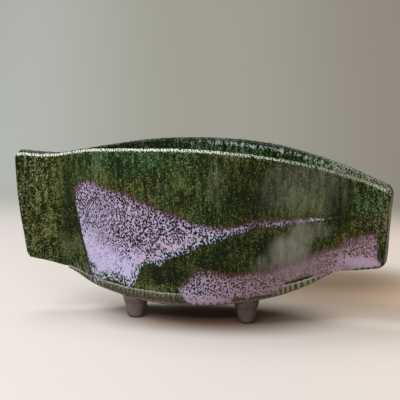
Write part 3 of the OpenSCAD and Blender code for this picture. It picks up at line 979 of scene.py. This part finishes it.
def beside(corners):
    """The corners that share an edge with some of the given ones."""
    return {edge.other_vert(vert) for vert in corners for edge in vert.link_edges} - corners


def ordered(ring, neighbours):
    """The corners of a ring in order, walked along the faces that it shares with its neighbours."""
    links = {vert: [] for vert in ring}
    for vert in ring:
        for face in vert.link_faces:
            pair = [other for other in face.verts if other in ring and other is not vert]
            if len(pair) == 1 and neighbours & set(face.verts) and pair[0] not in links[vert]:
                links[vert].append(pair[0])
    order = [min(ring, key=lambda vert: (vert.co.z, vert.co.y))]
    while len(order) < len(ring):
        order.append(next(vert for vert in links[order[-1]] if vert not in order[-2:]))
    return order


def matched(row, order):
    """Turns an ordered ring so that each corner lies nearest its own in the row before it."""
    turns = [way[k:] + way[:k] for way in (order, order[::-1]) for k in range(len(order))]
    return min(turns, key=lambda turn: sum((a.co - b.co).length for a, b in zip(row, turn)))


def rows_of(mesh):
    """The rows of corners of a lofted solid from its left end to its right end."""
    seed = min(mesh.verts, key=lambda vert: abs(vert.co.x))
    middle = {vert for vert in mesh.verts if abs(vert.co.x - seed.co.x) < 0.01 * MM}
    right = {vert for vert in beside(middle) if vert.co.x > seed.co.x}
    start = ordered(middle, right)
    if abs(start[1].co.z - start[0].co.z) < abs(start[-1].co.z - start[0].co.z):
        start = start[1:] + start[:1]
    halves = []
    for ahead in (beside(middle) - right, right):
        rows = [start]
        while ahead:
            ring = set(rows[-1])
            rows.append(matched(rows[-1], ordered(ahead, ring)))
            ahead = beside(ahead) - ring
        halves.append(rows[1:])
    return halves[0][::-1] + [start] + halves[1]


def loft_copy(node_name):
    """A copy of a lofted node rebuilt of quads, with a ladder of quads across each end."""
    piece = copy_of(node_name, node_name + "_glazed")
    mesh = bmesh.new()
    mesh.from_mesh(piece.data)
    rows = rows_of(mesh)
    places = [vert.co[:] for row in rows for vert in row]
    mesh.free()
    around = len(rows[0])
    last = (len(rows) - 1) * around
    faces = [(i + j, i + (j + 1) % around, i + around + (j + 1) % around, i + around + j)
             for i in range(0, last, around) for j in range(around)]
    for end in (0, last):
        for i in range(around // 2 - 1):
            faces.append((end + i, end + i + 1, end + around - 2 - i, end + around - 1 - i))
        if around % 2:
            middle = end + around // 2
            faces.append((middle - 1, middle, middle + 1))
    piece.data = bpy.data.meshes.new(piece.name)
    piece.data.from_pydata(places, [], faces)
    on_all(piece, bpy.ops.mesh.normals_make_consistent, inside=False)
    return piece


def hold_edges(piece):
    """Creases the edges of faces that look up or down, so that subdividing keeps them."""
    mesh = bmesh.new()
    mesh.from_mesh(piece.data)
    layer = mesh.edges.layers.float.new("crease_edge")
    for edge in mesh.edges:
        level = [abs(face.normal.z) > 0.75 for face in edge.link_faces]
        if any(level) and not all(level):
            edge[layer] = 1.0
    mesh.to_mesh(piece.data)
    mesh.free()


def finer(piece):
    """Subdivides a piece's surface twice."""
    add_modifier(piece, "SUBSURF", levels=2, render_levels=2)


def split_upright(piece):
    """Halves the long upright edges of a wall."""
    ends = piece.data.vertices

    def is_long(edge):
        run = ends[edge.vertices[0]].co - ends[edge.vertices[1]].co
        return run.length > LONGEST_EDGE and abs(run.z) > 0.8 * run.length

    pick(piece, "EDGE", is_long)
    bpy.ops.mesh.subdivide(number_cuts=1)
    close_edit()


# The pieces

class VASE_OT_walls(bpy.types.Operator):
    """Builds the two glazed wall slabs"""

    bl_idname = "vase.walls"
    bl_label = "Wall slabs"

    def execute(self, context):
        clay = context.scene.vase_clay
        glaze = glaze_material(context.scene.vase_glaze)
        for node_name, side in (("front_wall", -1), ("back_wall", 1)):
            piece = loft_copy(node_name)
            hold_edges(piece)
            split_upright(piece)
            finer(piece)
            places = points_of(piece)
            drift = rough_field(places * (1, 1, 0.3), 90, 3)
            turn = 2 * math.pi * places[:, 0] / clay.comb_pitch + COMB_WANDER * drift
            comb = np.sin(turn) * (0.6 + 0.4 * drift)
            waves = sum(share * rough_field(places, scale, seed) for scale, seed, share in WAVES)
            raise_surface(piece, clay.waviness * waves + clay.comb_depth * comb)
            places = points_of(piece)
            low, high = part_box(node_name)
            places[:, 0] = np.clip(places[:, 0], low[0], high[0])
            move_points(piece, places)
            glaze_fields(piece, side, edge_heights(places, np.max))
            x = places[:, 0] / MM
            over = (places[:, 2] - edge_heights(places, np.min)) / MM
            left = ramp(abs(x + 101), 18, 6) * ramp(over, 12, 2)
            edge = ramp(over, 1.8, 0.3) * (abs(x) > 112)
            # The rim's white, partly glaze run thin and partly painted highlight, weaker on the
            # back
            white = np.interp(x, *np.array(RIM_WHITE_MM).T)
            write_fields(
                piece, comb=comb, rim_white=white * (1.0 if side < 0 else BACK_RIM_WHITE),
                scratch=np.maximum(left, edge), rib=0, bare=0, hem=0, seam=0)
            settle(piece, glaze, node_name, VESSEL, SLAB_CREASE)
        return {"FINISHED"}


class VASE_OT_base(bpy.types.Operator):
    """Builds the boat-bottomed base with its ribbed hem, and the coils in its seams"""

    bl_idname = "vase.base"
    bl_label = "Base and seam coils"

    def execute(self, context):
        glaze = bpy.data.materials["layered_glaze"]
        piece = loft_copy("base_slab")
        hold_edges(piece)
        finer(piece)
        places = points_of(piece)
        facing = normals_of(piece)[:, 2]
        top = edge_heights(places, np.max)
        glaze_fields(piece, 0, top + 0.1)
        x = places[:, 0] / MM
        depth = (top - places[:, 2]) / MM
        over = (places[:, 2] - edge_heights(places, np.min)) / MM
        wander = RIB_WANDER * rough_field(places * (1, 1, 0.2), 45, 5)
        ribs = np.cos(2 * math.pi * x / RIB_PITCH_MM + wander)
        ribs = ribs * (0.85 + rough_field(places, 60, 9))
        seam = depth - HEM_LINE_DEPTH_MM - 0.9 * rough_field(places, 110, 8) + 0.5 * ribs
        clay_line = np.interp(x, *np.array(BARE_MM).T)
        pour = np.maximum(depth_inside(LOW_POUR_MM, glaze_spots(places, 0)), 0)
        bare = (clay_line - np.minimum(pour * 2, 4) - over) / 1.2 + 0.5
        write_fields(
            piece, rib=ribs * ramp(depth, 10.8, 1.8), seam=ramp(abs(seam), HEM_LINE_HALF_MM, 0),
            bare=np.where(facing < -0.6, 2.0, np.clip(bare, -1, 2)), hem=facing < 0.5,
            comb=0, rim_white=0, scratch=0)
        settle(piece, glaze, "base_slab", VESSEL, SLAB_CREASE)
        for node_name, side in (("front_seam_coil", -1), ("back_seam_coil", 1)):
            coil = loft_copy(node_name)
            finer(coil)
            glaze_fields(coil, side, 0.2)
            write_fields(coil, comb=0, rim_white=0, rib=0, bare=0, hem=0, seam=0, scratch=0)
            settle(coil, glaze, node_name, VESSEL)
        return {"FINISHED"}


class VASE_OT_feet(bpy.types.Operator):
    """Builds the four hand-rolled peg feet"""

    bl_idname = "vase.feet"
    bl_label = "Feet"

    def execute(self, context):
        clay = clay_material(context.scene.vase_glaze)
        for place in ("front_left", "front_right", "back_left", "back_right"):
            node_name = "foot_" + place
            piece = copy_of(node_name, node_name + "_clay")
            on_all(piece, bpy.ops.mesh.tris_convert_to_quads, face_threshold=math.pi,
                   shape_threshold=math.pi, topology_influence=2)
            places = points_of(piece)
            lumps = rough_field(places, 110, len(place)) + 0.6 * rough_field(places, 330, 6)
            heights = context.scene.vase_clay.lumps * lumps
            heights = heights + FOOT_FLARE * ramp(places[:, 2] / MM, 10, 16) ** 2
            raise_surface(piece, heights * (places[:, 2] > 0.4 * MM))
            places = points_of(piece)
            # Painted shade on the front right foot and the tops of the feet, plus a random change
            # of tone
            scorch = 0.62 if place == "front_right" else 0.1
            scorch = scorch + 0.5 * rough_field(places, 120, 4) + 0.3 * (places[:, 2] > 12 * MM)
            write_fields(piece, scorch=np.clip(scorch, 0, 1))
            settle(piece, clay, node_name, VESSEL, FOOT_CREASE)
        return {"FINISHED"}


def one_needle(holder, length):
    """A round needle with a ground point, standing at the middle of the frame."""
    shaft = length - holder.pin_point
    bpy.ops.mesh.primitive_cylinder_add(
        vertices=8, radius=holder.pin_diameter / 2, depth=shaft, location=(0, 0, shaft / 2))
    needle = bpy.context.object
    bake_place(needle)
    pick(needle, "FACE", lambda face: face.center.z > shaft - 0.1 * MM)
    for rise, share in NEEDLE_POINT:
        up = (0, 0, rise * holder.pin_point)
        bpy.ops.mesh.extrude_region_move(TRANSFORM_OT_translate={"value": up})
        bpy.ops.transform.resize(value=(share, share, 1), center_override=(0, 0, 0))
    close_edit()
    return needle


def needle_places(holder, limit):
    """Places of the needles in staggered rows within a radius."""
    row_gap = holder.pin_pitch * math.sin(math.radians(60))
    rows = int(limit / row_gap)
    columns = int(limit / holder.pin_pitch) + 1
    for row in range(-rows, rows + 1):
        for column in range(-columns, columns + 1):
            x = (column + row % 2 / 2) * holder.pin_pitch
            y = row * row_gap
            if math.hypot(x, y) < limit:
                yield x, y


class VASE_OT_holder(bpy.types.Operator):
    """Finishes the needle flower holder and gives it round needles"""

    bl_idname = "vase.holder"
    bl_label = "Flower holder"

    def execute(self, context):
        holder = context.scene.vase_holder
        low, high = (Vector(corner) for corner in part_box("kenzan_pins"))
        middle = (low + high) / 2
        radius = (high.x - low.x) / 2
        bpy.ops.mesh.primitive_cylinder_add(
            vertices=64, radius=radius, depth=holder.plate,
            location=(middle.x, middle.y, low.z + holder.plate / 2))
        plate = bpy.context.object
        plate.name = "kenzan_needles"
        bake_place(plate)
        add_modifier(plate, "BEVEL", width=holder.plate * 0.25, segments=2, limit_method="ANGLE")
        needle = one_needle(holder, high.z - low.z - holder.plate / 2)
        draw = random.Random(7)
        copies = []
        for x, y in needle_places(holder, radius - holder.pin_diameter):
            copy = needle.copy()
            copy.data = needle.data.copy()
            bpy.context.collection.objects.link(copy)
            copy.location = (middle.x + x, middle.y + y, low.z + holder.plate / 2)
            copy.rotation_euler = (draw.gauss(0, NEEDLE_LEAN), draw.gauss(0, NEEDLE_LEAN), 0)
            copies.append(copy)
        bpy.data.objects.remove(needle)
        only(plate)
        for copy in copies:
            copy.select_set(True)
        bpy.ops.object.join()
        settle(plate, needle_material(), "kenzan_pins", HOLDER, NEEDLE_CREASE)
        wear(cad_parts["kenzan_base"], lead_material())
        wear(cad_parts["kenzan_ring"], rubber_material())
        return {"FINISHED"}


# The studio

def lay_sweep(studio):
    """A floor that curves up into a backdrop."""
    wide, front, back, radius, high = 8.0, -3.0, 0.8, 0.6, 3.0
    bpy.ops.mesh.primitive_plane_add(size=1, location=(0, (front + back) / 2, 0))
    sweep = bpy.context.object
    sweep.name = "studio_sweep"
    sweep.scale = (wide, back - front, 1)
    bake_place(sweep)
    ends = sweep.data.vertices
    pick(sweep, "EDGE", lambda edge: all(ends[i].co.y > back - MM for i in edge.vertices))
    bpy.ops.mesh.spin(steps=24, angle=-math.pi / 2, center=(0, back, radius), axis=(1, 0, 0))
    bpy.ops.mesh.extrude_edges_move(TRANSFORM_OT_translate={"value": (0, 0, high - radius)})
    close_edit()
    on_all(sweep, bpy.ops.mesh.normals_make_consistent, inside=False)
    if sweep.data.polygons[0].normal.z < 0:
        sweep.data.flip_normals()
    wear(sweep, sweep_material(studio))
    only(sweep)
    bpy.ops.object.shade_smooth()


def hang_lights(scene):
    """A key from the upper left, a wide light in front and one behind, in a pale room."""
    for name, (place, width, height, power) in LAMPS.items():
        lamp = bpy.data.lights.new(name, "AREA")
        lamp.shape = "RECTANGLE"
        lamp.size = width
        lamp.size_y = height
        lamp.energy = power
        light = bpy.data.objects.new(name, lamp)
        aim_object(light, place, Vector(place) - Vector(LAMP_AIM))
    world = bpy.data.worlds.new("studio_air")
    scene.world = world
    world.use_nodes = True
    air = world.node_tree.nodes["Background"]
    air.inputs["Color"].default_value = AIR_COLOUR
    air.inputs["Strength"].default_value = AIR_STRENGTH


def aim_object(thing, place, back):
    """Puts a light or the camera in the scene with its back to a direction."""
    bpy.context.collection.objects.link(thing)
    thing.location = place
    thing.rotation_mode = "QUATERNION"
    thing.rotation_quaternion = back.to_track_quat("Z", "Y")


def set_camera(scene, studio):
    """The camera at the photograph's angle."""
    turn, rise = studio.camera_turn, studio.camera_rise
    back = Vector((math.sin(turn) * math.cos(rise), -math.cos(turn) * math.cos(rise),
                   math.sin(rise)))
    data = bpy.data.cameras.new("camera")
    data.lens = studio.lens
    data.sensor_width = SENSOR_MM
    camera = bpy.data.objects.new("camera", data)
    aim_object(camera, Vector(CAMERA_TARGET_MM) * MM + back * studio.camera_distance, back)
    scene.camera = camera


class VASE_OT_studio(bpy.types.Operator):
    """Lays the sweep of paper, hangs the soft lights and sets up the camera"""

    bl_idname = "vase.studio"
    bl_label = "Studio"

    def execute(self, context):
        scene = context.scene
        lay_sweep(scene.vase_studio)
        hang_lights(scene)
        set_camera(scene, scene.vase_studio)
        scene.view_settings.view_transform = "Standard"
        return {"FINISHED"}


class VASE_PT_panel(bpy.types.Panel):
    """Lists the steps that build the vase"""

    bl_label = "Slab-built vase"
    bl_idname = "VASE_PT_panel"
    bl_space_type = "VIEW_3D"
    bl_region_type = "UI"
    bl_category = "Vase"

    def draw(self, context):
        for step in STEPS:
            self.layout.operator(step.bl_idname)
        for group in SETTINGS:
            box = self.layout.box()
            settings = getattr(context.scene, group)
            for name in settings.__annotations__:
                box.prop(settings, name)


STEPS = (VASE_OT_studio, VASE_OT_walls, VASE_OT_base, VASE_OT_feet, VASE_OT_holder)
CLASSES = (*SETTINGS.values(), *STEPS, VASE_PT_panel)


def register():
    for cls in CLASSES:
        bpy.utils.register_class(cls)
    for group, cls in SETTINGS.items():
        setattr(bpy.types.Scene, group, bpy.props.PointerProperty(type=cls))


def unregister():
    for group in SETTINGS:
        delattr(bpy.types.Scene, group)
    for cls in reversed(CLASSES):
        bpy.utils.unregister_class(cls)


def main():
    register()
    bpy.ops.vase.studio()
    bpy.ops.vase.walls()
    bpy.ops.vase.base()
    bpy.ops.vase.feet()
    bpy.ops.vase.holder()


if __name__ == "__main__":
    main()
